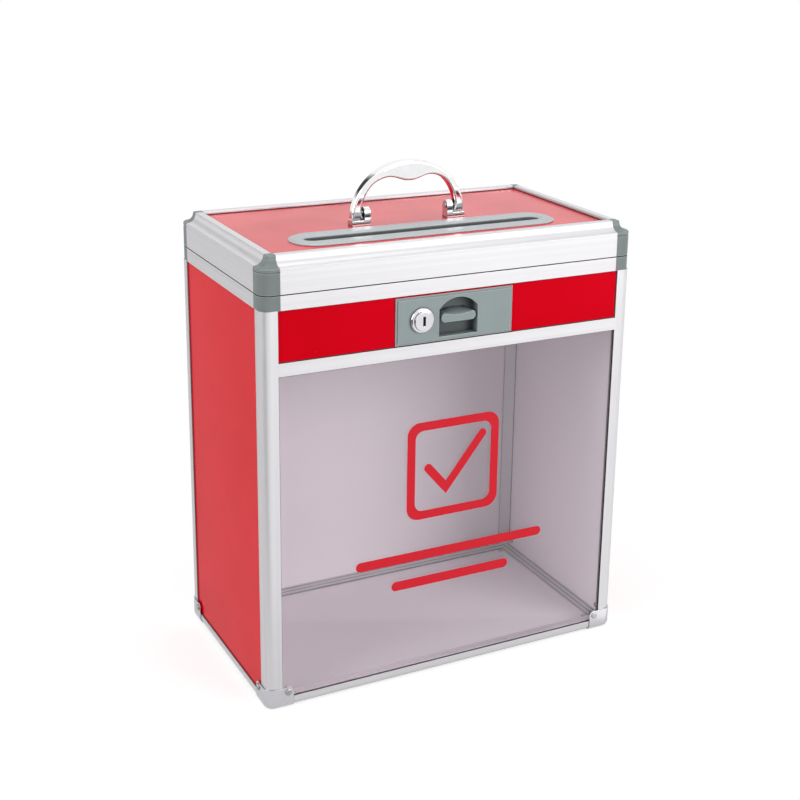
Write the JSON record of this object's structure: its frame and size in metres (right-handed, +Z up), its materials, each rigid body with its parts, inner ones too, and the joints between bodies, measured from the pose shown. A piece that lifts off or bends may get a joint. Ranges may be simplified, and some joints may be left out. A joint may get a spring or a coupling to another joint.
{
  "type": "ballot box",
  "caption": "Framed ballot box with red board walls, a clear front window, a hinged lid with a ballot slot and folding carrying handle, a thumb latch and a cam lock.",
  "frame": {"origin": "middle of the footprint on the floor that the box stands on", "axes": "+Z up, +Y to the back (hinge side), -Y to the front with the window and the lock, +X to the right seen from the front"},
  "size_m": [0.3644, 0.2136, 0.4607],
  "materials": {
    "red_board": "satin gloss red outside, pale grey inside",
    "clear_acrylic": "clear polished",
    "satin_aluminium": "satin anodised, drawn lines along the bar",
    "grey_plastic": "silver-grey moulded plastic",
    "chrome_plate": "bright plated",
    "rivet_metal": "dull rivet metal",
    "brass_nut": "plain brass",
    "bare_steel": "zinc-plated steel"
  },
  "bodies": {
    "base": {"ball_corner_front_left": "chrome_plate", "ball_corner_front_right": "chrome_plate", "ball_corner_rear_left": "chrome_plate", "ball_corner_rear_right": "chrome_plate", "bottom_rail_front": "satin_aluminium", "bottom_rail_left": "satin_aluminium", "bottom_rail_rear": "satin_aluminium", "bottom_rail_right": "satin_aluminium", "corner_rivets": "rivet_metal", "floor_panel": "red_board", "front_strip": "red_board", "hinge_body_leaves": "bare_steel", "hinge_body_rivets": "bare_steel", "hinge_pins": "bare_steel", "left_panel": "red_board", "lever_pin": "bare_steel", "lever_spring": "bare_steel", "lock_barrel": "chrome_plate", "lock_nut": "brass_nut", "lock_plate": "grey_plastic", "mid_rail": "satin_aluminium", "post_front_left": "satin_aluminium", "post_front_right": "satin_aluminium", "post_rear_left": "satin_aluminium", "post_rear_right": "satin_aluminium", "rear_panel": "red_board", "right_panel": "red_board", "rim_corner_front_left": "grey_plastic", "rim_corner_front_right": "grey_plastic", "rim_corner_rear_left": "grey_plastic", "rim_corner_rear_right": "grey_plastic", "rim_rail_front": "satin_aluminium", "rim_rail_left": "satin_aluminium", "rim_rail_rear": "satin_aluminium", "rim_rail_right": "satin_aluminium", "window": "clear_acrylic"},
    "lid": {"bracket_screws": "bare_steel", "handle_bracket_left": "chrome_plate", "handle_bracket_right": "chrome_plate", "handle_pins": "bare_steel", "hinge_lid_leaves": "bare_steel", "hinge_lid_rivets": "bare_steel", "lid_corner_front_left": "grey_plastic", "lid_corner_front_right": "grey_plastic", "lid_corner_rear_left": "grey_plastic", "lid_corner_rear_right": "grey_plastic", "lid_panel": "red_board", "lid_rail_front": "satin_aluminium", "lid_rail_left": "satin_aluminium", "lid_rail_rear": "satin_aluminium", "lid_rail_right": "satin_aluminium", "slot_bezel": "grey_plastic", "strike_plate": "bare_steel", "strike_rivets": "bare_steel"},
    "handle": {"handle": "chrome_plate"},
    "lever": {"latch_lever": "grey_plastic", "latch_hook": "bare_steel"},
    "plug": {"lock_plug": "chrome_plate", "lock_cam": "bare_steel", "cam_screw": "bare_steel"}
  },
  "joints": [
    {"name": "lid_hinge", "type": "hinge", "parent": "base", "child": "lid", "pos_m": [0, 0.104, 0.3765], "axis": [-1, 0, 0], "range_deg": [0, 100]},
    {"name": "handle_fold", "type": "hinge", "parent": "lid", "child": "handle", "pos_m": [-0.0025, -0.0066, 0.4165], "axis": [-1, 0, 0], "range_deg": [-90, 90]},
    {"name": "lever_press", "type": "hinge", "parent": "base", "child": "lever", "pos_m": [0.0007, -0.084, 0.34], "axis": [1, 0, 0], "range_deg": [-4, 8], "stiffness_Nm_per_rad": 0.3, "deforming": ["lever_spring"]},
    {"name": "lock_turn", "type": "hinge", "parent": "base", "child": "plug", "pos_m": [-0.035, -0.0918, 0.3408], "axis": [0, 1, 0], "range_deg": [0, 90]}
  ]
}
